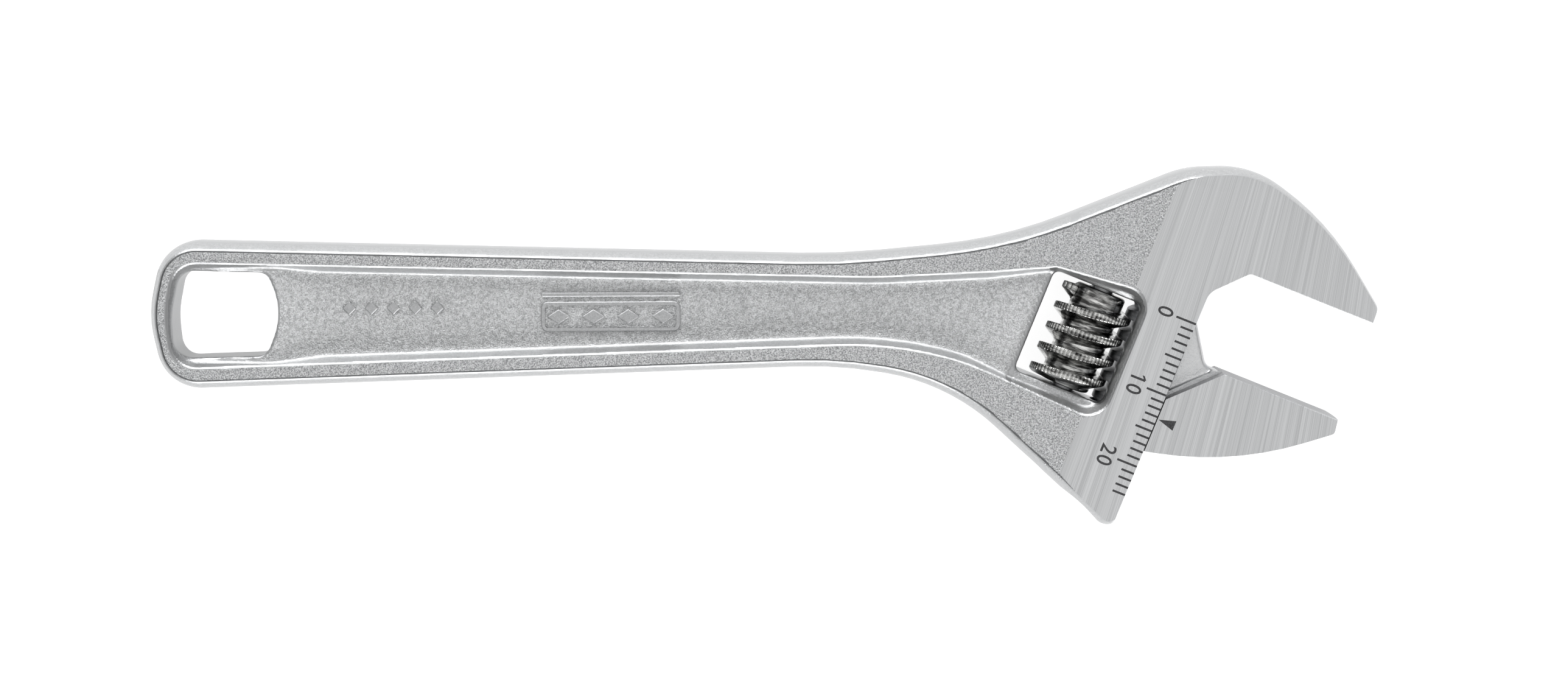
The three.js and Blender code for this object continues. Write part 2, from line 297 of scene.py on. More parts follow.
def forgedSatinChrome(name, side, webDark, webLight):
    material, tree = newMaterial(name)
    coordinates = addNode(tree, "ShaderNodeTexCoord")
    place = coordinates.outputs["Object"]
    facing = addNode(tree, "ShaderNodeSeparateXYZ", {"Vector": coordinates.outputs["Normal"]}).outputs["Z"]
    rim, web, outward, outline = [
        addNode(tree, "ShaderNodeAttribute", attribute_name=label).outputs["Fac"] for label in grainNames]
    fine = noise(tree, place, 5600.0, 3.0, 0.7)
    coarse = noise(tree, place, 2300.0, 4.0, 0.65)
    swell = noise(tree, place, 260.0, 2.0)
    both = reckon(tree, "MULTIPLY_ADD", coarse, 0.7, fine)
    rimBump = addNode(tree, "ShaderNodeBump", {
        "Height": reckon(tree, "MULTIPLY", fine, rim), "Strength": 1.0, "Distance": 0.00015})
    webBump = addNode(tree, "ShaderNodeBump", {
        "Height": reckon(tree, "MULTIPLY", both, web), "Strength": 1.0, "Distance": 0.00013,
        "Normal": rimBump.outputs[0]})
    bump = addNode(tree, "ShaderNodeBump", {"Height": swell, "Strength": 0.3, "Distance": 0.0002,
                                            "Normal": webBump.outputs[0]})
    onRim = blend(tree, rim, linear(side), toneRamp(tree, fine, (0.38, "#818283"), (0.62, "#CFD0D1")))
    onWeb = blend(tree, web, onRim, toneRamp(tree, both, (0.7, webDark), (1.0, webLight)))
    # painted shade: outward rim edges, where the normal is partly tilted, and the small walls are darkened
    # towards #6A6B6C to stand in for the shade on them
    rimEdge = reckon(tree, "COMPARE", reckon(tree, "ABSOLUTE", facing), 0.93, 0.045)
    paintedShade = reckon(tree, "MULTIPLY_ADD", rimEdge, outward, outline)
    shader = addNode(tree, "ShaderNodeBsdfPrincipled", {
        "Base Color": blend(tree, paintedShade, onWeb, linear("#6A6B6C")), "Metallic": 1.0,
        "Roughness": 0.33, "Normal": bump.outputs[0]})
    closeMaterial(tree, shader)
    return material


# Chrome over belt-ground steel: brighter and flatter than the forging. The grinding
# lines fan out slightly from a point far above the head, the way the belt swept it
def groundChrome():
    material, tree = newMaterial("ground_chrome")
    place = addNode(tree, "ShaderNodeTexCoord").outputs["Object"]
    pivot = wormCentre + Vector((0.0522, 0.1305, 0))
    arm = addNode(tree, "ShaderNodeVectorMath", {0: place, 1: pivot}, operation="SUBTRACT")
    parts = addNode(tree, "ShaderNodeSeparateXYZ", {"Vector": arm.outputs[0]})
    angle = reckon(tree, "ARCTAN2", parts.outputs["X"], parts.outputs["Y"])
    reach = addNode(tree, "ShaderNodeVectorMath", {0: arm.outputs[0]}, operation="LENGTH")
    swept = addNode(tree, "ShaderNodeCombineXYZ", {
        "X": angle, "Y": reach.outputs["Value"], "Z": parts.outputs["Z"]}).outputs[0]
    lines = noise(tree, stretch(tree, swept, (1300.0, 16.0, 2200.0)), 1.0, 4.0, 0.7)
    broad = noise(tree, stretch(tree, swept, (330.0, 7.0, 500.0)), 1.0, 2.0)
    height = reckon(tree, "MULTIPLY_ADD", broad, 0.35, lines)
    bump = addNode(tree, "ShaderNodeBump", {"Height": height, "Strength": 0.5, "Distance": 0.00003})
    rough = addNode(tree, "ShaderNodeMapRange", {"Value": lines, 1: 0.3, 2: 0.7, 3: 0.26, 4: 0.4})
    shader = addNode(tree, "ShaderNodeBsdfPrincipled", {
        "Base Color": toneRamp(tree, height, (0.5, "#B2B3B4"), (0.85, "#D3D4D5")), "Metallic": 1.0,
        "Roughness": rough.outputs[0], "Normal": bump.outputs[0]})
    closeMaterial(tree, shader)
    return material


# Hardened steel, turned and then polished: sharp reflections broken by darker oily bands
# that follow the tool marks round the axis
def turnedSteel(name, dark, light, low, high):
    material, tree = newMaterial(name)
    place = addNode(tree, "ShaderNodeTexCoord").outputs["Object"]
    turned = stretch(tree, place, (1, 1, 1), headTilt)
    bands = noise(tree, stretch(tree, turned, (320.0, 1900.0, 320.0)), 1.0, 4.0, 0.6)
    toolMarks = noise(tree, stretch(tree, turned, (200.0, 9000.0, 200.0)), 1.0, 2.0)
    bump = addNode(tree, "ShaderNodeBump", {"Height": toolMarks, "Strength": 0.4, "Distance": 0.00002})
    rough = addNode(tree, "ShaderNodeMapRange", {"Value": bands, 1: 0.3, 2: 0.7, 3: low, 4: high})
    shader = addNode(tree, "ShaderNodeBsdfPrincipled", {
        "Base Color": toneRamp(tree, bands, (0.4, dark), (0.62, light)), "Metallic": 1.0,
        "Roughness": rough.outputs[0], "Normal": bump.outputs[0]})
    closeMaterial(tree, shader)
    return material


# Laser-marked steel: a dull oxide film, nearly black, that hides the grinding lines
def laserBlack():
    material, tree = newMaterial("laser_black_oxide")
    place = addNode(tree, "ShaderNodeTexCoord").outputs["Object"]
    speckle = noise(tree, place, 6000.0, 2.0)
    shader = addNode(tree, "ShaderNodeBsdfPrincipled", {
        "Base Color": toneRamp(tree, speckle, (0.35, "#2B2B2C"), (0.7, "#48484A")), "Metallic": 0.3,
        "Roughness": 0.55})
    closeMaterial(tree, shader)
    return material


forgedSkin = forgedSatinChrome("forged_satin_chrome", "#ACADAE", "#A0A1A2", "#DADBDC")
# painted light: the sliding jaw gets a copy of the forged chrome painted lighter all over, sides and web,
# to stand in for light that its shaded neck lacks
jawSkinPaintedLight = forgedSatinChrome("forged_satin_chrome_jaw_painted_light", "#C4C5C6", "#F0F1F2", "#FFFFFF")
groundSkin = groundChrome()
wormSkin = turnedSteel("dark_polished_steel", "#4C4C4B", "#DEDEDC", 0.08, 0.18)
toothSkin = turnedSteel("milled_tooth_steel", "#707174", "#9C9D9F", 0.3, 0.45)
pinSkin = turnedSteel("turned_pin_steel", "#8A8B8C", "#A9AAAB", 0.22, 0.38)
springSkin = turnedSteel("drawn_spring_steel", "#7C7D7E", "#9C9D9E", 0.2, 0.32)
markSkin = laserBlack()
print("wrench: materials made")


# Body: one drop forging with the fixed jaw

bodyCorners = [
    (-119.6, 13.7, 5.8), (-121.8, 3.9, 14), (-119.6, -5.9, 5.8),
    (-31.8, -3.2, 55), (-17.45, -5.75, 28),
    atHead(13.3, -22.3, 1.95), atHead(13.3, -5), atHead(24, 8), atHead(34.1, 14.3),
    (38.3, 4.2, 1.3), (31.6, 15.55, 34), (22, 22.55, 12), (13.3, 22.4, 13),
    (-10.2, 13.25, 60), (-31.8, 11.3, 90),
]


def forgedHeight(x, y):
    n, _ = headPlace(x, y)
    rise = (head["halfHead"] - head["halfHandle"]) / (head["groundEdge"] - head["shoulderStart"])
    return head["halfHandle"] + (n - head["shoulderStart"]) * rise


def forging(name):
    levels = []
    for step in range(-12, 13):
        level = math.sin(step / 12 * math.pi / 2)
        levels.append((level, head["sideRound"] * abs(level) ** 3))
    return levelsSolid(name, roundedOutline(bodyCorners), levels)


def bigPlate(name, low, high, left=-160, right=90):
    return plate(name, [Vector(p) for p in ((left, -80), (right, -80), (right, 80), (left, 80))], low, high)


def headSide(name):
    start = head["shoulderStart"] - 3
    corners = [atHead(start, -40), atHead(60, -40), atHead(60, 60), atHead(start, 60)]
    return plate(name, roundedOutline(corners), -2, 2)


def recess(name):
    right = head["windowRight"] + 0.1
    outline = roundedOutline([
        (-118.3, -3.05, 3.5), (-21.8, -0.02, 50), atHead(right, -8.3, 2.6), atHead(right, 8.4, 2.4),
        atHead(-6.9, 7.55, 2), (-27, 8.6, 60), (-117.9, 10.95, 3.5), (-119.2, 4.1, 15)])
    rise = head["halfHandle"] - head["halfWeb"]
    slope = head["wallSlope"]
    return levelsSolid(name, outline, [(head["halfWeb"], slope * rise), (head["halfHandle"], 0),
                                       (head["halfHead"] + 1, -slope * 2)])


def makeBody():
    blank = join(forging("body_forging"), headSide("side"), "INTERSECT")
    thicken(blank, forgedHeight)
    handle = thicken(forging("body_forging"), lambda x, y: head["halfHandle"])
    body = join(blank, handle, "UNION")
    web = head["halfWeb"]
    for side in (1, -1):
        pocket = recess("pocket")
        ramp = bar("ramp", [(-15, 1), (8, 1), (8, web + 0.9), (head["windowLeft"] - 0.7, web + 0.9),
                            (-14.2, web), (-15, web - 0.2)], -30, 30)
        join(pocket, ramp)
        holeRamp = [(-98.9, 1), (-98.9, web), (-104.6, web + 0.8), (-106.5, web + 0.8),
                    (-119, web), (-119, 1)]
        join(pocket, bar("hole_ramp", holeRamp, -10, 20, square=True))
        if side < 0:
            pocket.data.transform(Matrix.Scale(-1, 4, (0, 0, 1)))
            pocket.data.flip_normals()
        join(body, pocket)
    hole = roundedOutline([(-118.1, -1.65, 2.4), (-106.2, -1.35, 1.8), (-103.9, 4.4, 9),
                           (-106, 9.45, 1.5), (-117.3, 9.72, 2.2), (-118.5, 4, 12)])
    join(body, plate("hole", hole, -8, 8))
    left, right = head["windowLeft"], head["windowRight"]
    bottom, top = head["windowBottom"], head["windowTop"]
    window = roundedOutline([atHead(left, bottom, 0.7), atHead(right, bottom, 0.9),
                             atHead(right, top, 0.9), atHead(left, top, 0.7)])
    join(body, plate("window", window, -8, 8))
    remesh(body, head["forgeVoxel"], head["forgeSmooth"], head["forgeKeep"])
    print("wrench: forging", len(body.data.polygons))
    join(body, bigPlate("ground", -head["halfHead"], head["halfHead"]), "INTERSECT")
    edge = head["scaleEdge"]
    face = head["fixedJawFace"]
    mouth = roundedOutline([atHead(edge, -40), atHead(50, -40), atHead(50, face),
                            atHead(16.4, face, 0.9), atHead(edge, 12, 2.5)])
    join(body, levelsSolid("mouth", mouth, [(-5.6, -0.36), (-5.24, 0), (5.24, 0), (5.6, -0.36)]))
    half = head["slotWidth"] / 2
    rodAxis = head["rodAxis"]
    slot = roundedOutline([
        atHead(rodAxis, -40), atHead(edge + 1, -40), atHead(edge + 1, face - 3.8), atHead(17.8, face - 0.5),
        atHead(17.3, face + 0.5), atHead(16, 17.5), atHead(13.4, 22.4, 0.8), atHead(rodAxis, 22.4)])
    join(body, plate("slot", slot, -half, half))
    radius = head["boreRadius"]
    join(body, turnedAlongSlide("bore", rodAxis, [(-40, radius), (21.2, radius)]))
    join(body, turnedAlongSlide("pin_bore", 0, [(-30, 2.3), (-10.9, 2.3), (-10.2, 1.75), (11.6, 1.75)], 48))
    return body


# ground faces and machined cuts are bright, all the rest keeps the forged skin
def bodyFinish(centre, normal):
    n, s = headPlace(centre.x, centre.y)
    if abs(centre.z) > head["halfHead"] - 0.004 and abs(normal.z) > 0.99:
        return 1
    if n > head["scaleEdge"] - 0.25 and s < head["fixedJawFace"] + 0.25 and abs(normal.z) < 0.9:
        return 1
    if abs(math.hypot(n - head["rodAxis"], centre.z) - head["boreRadius"]) < 0.03:
        return 1
    if abs(abs(centre.z) - head["slotWidth"] / 2) < 0.003 and n > head["rodAxis"]:
        return 1
    return 0


# Raised marks on the web, plain shapes in place of lettering; places are (left, low, right, high)
marks = {"height": 0.24, "bar": (-70.5, 6.1, -52.4, 6.65), "frame": (-70.5, 1.55, -52.4, 5.45),
         "frameWidth": 0.5, "lozenges": 4, "lozengeWidth": 3.0, "lozengeHeight": 1.9,
         "beads": 5, "beadRow": (-95.4, -84.0), "beadHeight": 4.75, "beadSize": 1.8}


def boxCorners(box, radius, inset=0.0):
    left, low, right, high = box
    return roundedOutline([(left + inset, low + inset, radius), (right - inset, low + inset, radius),
                           (right - inset, high - inset, radius), (left + inset, high - inset, radius)], 15)


def raisedMark(name, outline):
    base = head["halfWeb"]
    return levelsSolid(name, outline, [(base - 0.4, 0), (base + marks["height"] - 0.1, 0),
                                       (base + marks["height"], 0.1)])


def lozenge(name, x, y, width, height):
    return raisedMark(name, roundedOutline([(x - width / 2, y, 0.12), (x, y - height / 2, 0.12),
                                            (x + width / 2, y, 0.12), (x, y + height / 2, 0.12)], 15))


def addRaisedMarks(piece):
    join(piece, raisedMark("mark_bar", boxCorners(marks["bar"], 0.2)), "UNION")
    border = raisedMark("mark_frame", boxCorners(marks["frame"], 0.9))
    inner = boxCorners(marks["frame"], 0.9 - marks["frameWidth"], marks["frameWidth"])
    join(border, plate("inside", inner, 0, 5))
    join(piece, border, "UNION")
    left, low, right, high = marks["frame"]
    for step in range(marks["lozenges"]):
        x = left + (right - left) * (step + 0.5) / marks["lozenges"]
        width, height = marks["lozengeWidth"], marks["lozengeHeight"]
        join(piece, lozenge("mark_lozenge", x, (low + high) / 2, width, height), "UNION")
    start, end = marks["beadRow"]
    for step in range(marks["beads"]):
        x = start + (end - start) * step / (marks["beads"] - 1)
        size = marks["beadSize"]
        join(piece, lozenge("mark_bead", x, marks["beadHeight"], size, size), "UNION")


# whether a point of the web is on or just beside a raised mark
def nearMark(x, y):
    left, low, right, _ = marks["frame"]
    start, end = marks["beadRow"]
    across = left - 1 < x < right + 1 or start - 1 < x < end + 1
    return across and low - 0.3 < y < marks["bar"][3] + 0.3


# how strongly each corner of a forging carries the rim's fine grain and the web's coarse one,
# which way is outward for the painted shade on the rim edges, and how much painted shade the small walls
# get
def grainForging(piece, floorHeight, amount=1.0):
    mesh = piece.data
    for name in grainNames:
        mesh.attributes.new(name, "FLOAT", "CORNER")
    rim, web, out, line = [mesh.attributes[name] for name in grainNames]
    for polygon in mesh.polygons:
        level = abs(polygon.normal.z)
        centre = polygon.center
        flat = rising(level, 0.9, 0.06)
        inHole = centre.x < head["holeRight"] and head["holeLow"] < centre.y < head["holeHigh"]
        if inHole:
            flat = rising(level, 0.97, 0.015)
        for loop in polygon.loop_indices:
            vertex = mesh.vertices[mesh.loops[loop].vertex_index]
            x, y, z = vertex.co
            height = abs(z)
            n, _ = headPlace(x, y)
            rimHeight = min(head["halfHead"], max(head["halfHandle"], forgedHeight(x, y)))
            high = rising(height, rimHeight - 0.5, 0.25)
            low = rising(floorHeight + 1.1 - height, 0, 0.3)
            land = 0.15 if head["windowLeft"] - 0.65 < n < head["windowLeft"] + 0.2 else 1
            wall = 0.25 if height < rimHeight - 0.25 and level > 0.25 else 0
            onMark = nearMark(x, y) and height < floorHeight + 0.4
            markTop = 0.35 if onMark and height > floorHeight + 0.15 else 1
            normal = vertex.normal
            outward = normal.y * (y - head["handleMiddle"]) + normal.x * min(0, x - head["tailCentre"])
            rim.data[loop].value = flat * high
            web.data[loop].value = max(wall, flat * low * (1 - high)) * land * amount * markTop
            # painted shade masks: outward rim edges; the side walls of the raised marks; the hole's walls,
            # darker the more they face +y
            out.data[loop].value = 1 if outward > 0 and high > 0.1 else 0
            line.data[loop].value = 1 if onMark and level < 0.5 else 0
            if inHole and level < 0.4:
                line.data[loop].value = 0.25 + 0.5 * max(0, polygon.normal.y)


# Scale on the upper ground face: marks 1 mm apart from 0 to 24
scale = {"count": 25, "pitch": 1.0, "zeroAt": 7.52, "long": 2.75, "middle": 2.26, "short": 1.75,
         "stroke": 0.28, "depth": 0.04, "sink": 0.015, "edgeGap": 0.03, "numeral": 2.1, "numeralGap": 0.4}


def scaleTree():
    tree = bpy.data.node_groups.new("scale_marks", "GeometryNodeTree")
    face = tree.interface
    sockets = {}
    kinds = {"Count": "NodeSocketInt", "Finish": "NodeSocketMaterial"}
    for name in ("Count", "Pitch", "Long", "Middle", "Short", "Stroke", "Depth", "Finish"):
        kind = kinds.get(name, "NodeSocketFloat")
        sockets[name] = face.new_socket(name=name, in_out="INPUT", socket_type=kind).identifier
    face.new_socket(name="Geometry", in_out="OUTPUT", socket_type="NodeSocketGeometry")
    given = addNode(tree, "NodeGroupInput").outputs
    step = addNode(tree, "ShaderNodeMath", {0: given["Pitch"], 1: -1.0}, operation="MULTIPLY")
    offset = addNode(tree, "ShaderNodeCombineXYZ", {"Y": step.outputs[0]})
    line = addNode(tree, "GeometryNodeMeshLine", {"Count": given["Count"], "Offset": offset.outputs[0]})
    index = addNode(tree, "GeometryNodeInputIndex").outputs[0]
    tenth = addNode(tree, "ShaderNodeMath", {0: index, 1: 10.0}, operation="MODULO")
    fifth = addNode(tree, "ShaderNodeMath", {0: index, 1: 5.0}, operation="MODULO")
    isTenth = addNode(tree, "ShaderNodeMath", {0: tenth.outputs[0], 1: 0.5}, operation="LESS_THAN")
    isFifth = addNode(tree, "ShaderNodeMath", {0: fifth.outputs[0], 1: 0.5}, operation="LESS_THAN")
    shorter = addNode(tree, "GeometryNodeSwitch", {"Switch": isFifth.outputs[0], "False": given["Short"],
                                                   "True": given["Middle"]}, input_type="FLOAT")
    length = addNode(tree, "GeometryNodeSwitch", {"Switch": isTenth.outputs[0], "False": shorter.outputs[0],
                                                  "True": given["Long"]}, input_type="FLOAT")
    size = addNode(tree, "ShaderNodeCombineXYZ", {"X": length.outputs[0], "Y": given["Stroke"],
                                                  "Z": given["Depth"]})
    tick = addNode(tree, "GeometryNodeMeshCube", {"Size": (1.0, 1.0, 1.0)})
    moved = addNode(tree, "GeometryNodeTransform", {"Geometry": tick.outputs["Mesh"],
                                                    "Translation": (-0.5, 0.0, -0.5)})
    put = addNode(tree, "GeometryNodeInstanceOnPoints", {"Points": line.outputs["Mesh"],
                                                         "Instance": moved.outputs["Geometry"],
                                                         "Scale": size.outputs[0]})
    real = addNode(tree, "GeometryNodeRealizeInstances", {"Geometry": put.outputs["Instances"]})
    finish = addNode(tree, "GeometryNodeSetMaterial", {"Geometry": real.outputs[0],
                                                       "Material": given["Finish"]})
    addNode(tree, "NodeGroupOutput", {"Geometry": finish.outputs[0]})
    return tree, sockets


# a flat mark drawn in the head's directions, laid just under the ground face
def layMark(piece, n, s, turn=0.0):
    piece.data.transform(Matrix.Rotation(turn, 4, "Z"))
    piece.data.transform(headTurn @ Matrix.Translation((n, s, head["halfHead"] - scale["sink"])))
    return piece


# cuts the shallow groove that a mark lies in
def engrave(piece, mark):
    cutter = mark.data.copy()
    floorLevel = head["halfHead"] - scale["depth"] - 0.02
    middle = head["halfHead"] - scale["sink"] - scale["depth"] / 2
    for vertex in cutter.vertices:
        vertex.co.z = head["halfHead"] + 0.1 if vertex.co.z > middle else floorLevel
    join(piece, makeObject("groove", cutter))


def makeScale():
    tree, sockets = scaleTree()
    marksMesh = bpy.data.meshes.new("scale_marks")
    ticks = makeObject("scale_marks", marksMesh)
    modifier = ticks.modifiers.new("marks", "NODES")
    modifier.node_group = tree
    for name, socket in sockets.items():
        modifier[socket] = markSkin if name == "Finish" else scale[name.lower()]
    settle(ticks)
    layMark(ticks, head["scaleEdge"] - scale["edgeGap"], scale["zeroAt"])
    return ticks


# the short stroke at the top of a leading 1, which the typeface leaves out
def addFlag(numeral):
    left = min(vertex.co.x for vertex in numeral.data.vertices)
    tall = scale["numeral"]
    flag = [Vector(p) for p in ((left + 0.1, tall), (left - 0.42, tall - 0.42), (left - 0.42, tall - 0.72),
                                (left + 0.1, tall - 0.32))]
    join(numeral, plate("flag", flag, -scale["depth"], 0), "UNION")


# height of a digit as a share of the typeface's size
digitShare = 0.73


def makeNumeral(text, middle):
    letters = bpy.data.curves.new("numeral_" + text, "FONT")
    letters.body = text
    letters.size = scale["numeral"] / digitShare
    letters.align_x = "CENTER"
    letters.align_y = "BOTTOM_BASELINE"
    letters.space_character = 1.15
    letters.offset = 0.022
    letters.extrude = scale["depth"] / 2
    drawn = makeObject("numeral_curve", letters)
    mesh = bpy.data.meshes.new_from_object(drawn.evaluated_get(bpy.context.evaluated_depsgraph_get()))
    bpy.data.objects.remove(drawn)
    numeral = makeObject("numeral_" + text, mesh)
    mesh.transform(Matrix.Translation((0, 0, -scale["depth"] / 2)))
    mesh.transform(Matrix.Diagonal((0.92, 1, 1, 1)))
    welded = bmesh.new()
    welded.from_mesh(mesh)
    bmesh.ops.remove_doubles(welded, verts=welded.verts, dist=0.0005)
    welded.to_mesh(mesh)
    welded.free()
    if text[0] == "1":
        addFlag(numeral)
    base = head["scaleEdge"] - scale["edgeGap"] - scale["long"] - scale["numeralGap"] - scale["numeral"]
    return layMark(numeral, base, middle, math.radians(-90))


ticks = makeScale()
numerals = [makeNumeral("0", scale["zeroAt"] + 0.1), makeNumeral("10", scale["zeroAt"] - 10),
            makeNumeral("20", scale["zeroAt"] - 20)]
print("wrench: scale")
body = makeBody()
addRaisedMarks(body)
for mark in [ticks] + numerals:
    engrave(body, mark)
grainForging(body, head["halfWeb"])
print("wrench: body", len(body.data.polygons))


# Sliding jaw: a forged jaw on a neck and a toothed rod

jaw = {"edge": 12.5, "neckHalf": 2.0, "rodTop": 6.8, "rodBottom": -18.4, "voxel": 0.17, "smooth": 4,
       "keep": 0.6, "toothRoot": 5.3, "runningGap": 0.14, "meshRadius": 4.4}
worm = {"radius": 5.05, "root": 3.4, "bottom": -6.45, "top": 6.85, "pitch": 2.85, "crest": 0.9,
        "steepFlank": 3.0, "slopingFlank": 30.0, "start": -5.7, "end": 6.0, "phase": 0.86,
        "notches": 54, "notchDepth": 0.19, "notchSharpness": 4, "stepsPerNotch": 6, "fadeTurns": 0.06,
        "springPocket": 2.75, "pocketDepth": 4.4}


# the jaw itself, with a soft fillet where the neck leaves it
def jawForging():
    face = head["jawFace"]
    edge = jaw["edge"]
    outline = roundedOutline([atHead(11, -10.95), atHead(23.9, -7.95, 43), atHead(34.9, 0.9, 0.9),
                              atHead(34.3, 4.5), atHead(11, 4.5)])
    levels = [(level * 5.8, 0.42 * level ** 2) for level in (-1, -0.8, -0.6, -0.3, 0, 0.3, 0.6, 0.8, 1)]
    forged = levelsSolid("sliding_jaw_forging", outline, levels)
    front = roundedOutline([atHead(edge - 0.15, -20), atHead(40, -20), atHead(40, face + 1.2),
                            atHead(edge + 5.65, face + 0.15), atHead(edge - 0.15, face - 5.7)])
    join(forged, plate("front", front, -8, 8), "INTERSECT")
    fillet = roundedOutline([
        atHead(edge + 0.05, face - 9), atHead(edge + 3, face - 9), atHead(edge + 7, face - 0.3),
        atHead(edge + 4.9, face - 0.15), atHead(edge + 0.05, face - 5.15)])
    return join(forged, plate("fillet", fillet, -2.75, 2.75), "UNION")


def jawNeck():
    half = jaw["neckHalf"]
    face = head["jawFace"]
    rodAxis = head["rodAxis"]
    outline = roundedOutline([
        atHead(rodAxis, -10.1), atHead(14, -9.6), atHead(20, -6), atHead(20, face - 0.6),
        atHead(18.4, face - 0.05), atHead(16.2, 2.8, 1.6), atHead(12.5, 8.3, 0.9),
        atHead(10.4, 8.3, 1), atHead(9.4, 6.2), atHead(rodAxis, 6.2)])
    edgeRound = [(half, 0.55), (half - 0.1, 0.3), (half - 0.35, 0.08), (half - 0.6, 0)]
    return levelsSolid("neck", outline, [(-height, inset) for height, inset in edgeRound] + edgeRound[::-1])


# grinds the flats and the jaw's face, and clears the jaw beside the body's edge and slot
def machineJaw(piece):
    face = head["jawFace"]
    edge = jaw["edge"]
    back = head["rodAxis"] - 8
    join(piece, bigPlate("ground", -head["halfHead"], head["halfHead"], -60, 90), "INTERSECT")
    chamfer = 0.1
    faced = roundedOutline([atHead(back, -30), atHead(40, -30), atHead(40, face), atHead(edge + 5.8, face),
                            atHead(edge + 5.2, 20), atHead(back, 20)])
    join(piece, levelsSolid("jaw_face", faced, [
        (-8, 2.7 + chamfer), (-5.3 + chamfer, 0), (5.3 - chamfer, 0), (8, 2.7 + chamfer)]), "INTERSECT")
    step = roundedOutline([atHead(back, -30), atHead(edge, -30), atHead(edge, face - 5.85),
                           atHead(edge + 5.8, face), atHead(edge + 5.8, 20), atHead(back, 20)])
    beside = roundedOutline([atHead(back, -30), atHead(edge, -30), atHead(edge, face - 4.2),
                             atHead(back, face - 4.2)])
    for outline, clear in ((step, 2.45), (beside, jaw["neckHalf"] + 0.1)):
        for low, high in ((clear, 8), (-8, -clear)):
            join(piece, plate("step", outline, low, high))


# the gaps lean with the worm's helix, taken at the radius where rod and worm meet
def cutTeeth(piece):
    firstGap = worm["phase"] + worm["pitch"] / 4
    lean = worm["pitch"] / (2 * math.pi * jaw["meshRadius"])
    halfGap = worm["crest"] / 2 + jaw["runningGap"]
    root = jaw["toothRoot"]
    depth = root - 3
    section = roundedOutline([
        (3, -halfGap - depth * math.tan(math.radians(worm["slopingFlank"])), 0),
        (root, -halfGap, 0.22), (root, halfGap, 0.22),
        (3, halfGap + depth * math.tan(math.radians(worm["steepFlank"])), 0)], 15)
    for gap in range(-7, 3):
        place = firstGap + gap * worm["pitch"]
        rings = []
        for z in (-6, 6):
            rings.append([atHead(p.x, place + p.y - lean * z)[:2] + (z,) for p in section])
        join(piece, ringsSolid("tooth_gap", rings))


def makeJaw():
    piece = join(jawForging(), jawNeck(), "UNION")
    remesh(piece, jaw["voxel"], jaw["smooth"], jaw["keep"])
    machineJaw(piece)
    radius = head["rodRadius"]
    low, high = jaw["rodBottom"], jaw["rodTop"]
    rod = turnedAlongSlide("rod", head["rodAxis"], [
        (low, radius - 0.4), (low + 0.4, radius), (high - 0.7, radius), (high - 0.25, radius - 0.2),
        (high, radius - 0.6)])
    join(piece, rod, "UNION")
    cutTeeth(piece)
    return piece


# the flats and the chamfer of the face are ground; the face, the step and the rod are cut
def jawFinish(centre, normal):
    n, s = headPlace(centre.x, centre.y)
    onFace = s > head["jawFace"] - 0.2 and n > jaw["edge"] + 5.3
    onStep = abs(n - jaw["edge"] - s + head["jawFace"] - 5.85) < 0.5 and abs(centre.z) > 2.1
    if abs(centre.z) > head["halfHead"] - 0.004 and abs(normal.z) > 0.99:
        return 1
    if onFace or onStep:
        return 1 if abs(normal.z) > 0.3 and onFace else 2
    if n < head["rodAxis"] + 3:
        return 2
    return 0


def makePointer():
    edge = jaw["edge"]
    top = head["halfHead"] - scale["sink"]
    outline = roundedOutline([atHead(edge + 0.12, -5.73), atHead(edge + 2.35, -6.4),
                              atHead(edge + 2.35, -5.06)])
    return plate("jaw_pointer", outline, top - scale["depth"], top)


pointerMark = makePointer()
slidingJaw = makeJaw()
engrave(slidingJaw, pointerMark)
grainForging(slidingJaw, jaw["neckHalf"], 0.45)
print("wrench: sliding jaw", len(slidingJaw.data.polygons))


# Worm: a knurled screw whose thread drives the jaw's teeth

def onWorm(radius, turn, height):
    x, y, _ = atHead(radius * math.sin(turn), height)
    return (x, y, radius * math.cos(turn))


# section of the thread as (radius, offset along the worm), with eased corners
def threadSection():
    inner = worm["root"] - 0.3
    outer = worm["radius"]
    half = worm["crest"] / 2
    steep = math.tan(math.radians(worm["steepFlank"]))
    sloping = math.tan(math.radians(worm["slopingFlank"]))
    return [
        (inner, half + (outer - inner) * steep + 0.25),
        (inner + 0.3, half + (outer - inner - 0.3) * steep + 0.22),
        (inner + 0.52, half + (outer - inner - 0.52) * steep), (outer - 0.16, half + 0.16 * steep),
        (outer - 0.05, half - 0.02), (outer, half - 0.12), (outer, half - 0.2), (outer, 0.12),
        (outer, -0.12), (outer, -half + 0.2), (outer, -half + 0.12), (outer - 0.05, -half + 0.02),
        (outer - 0.16, -half - 0.16 * sloping), (inner + 0.52, -half - (outer - inner - 0.52) * sloping),
        (inner + 0.3, -half - (outer - inner - 0.3) * sloping - 0.12),
        (inner, -half - (outer - inner) * sloping - 0.2)]


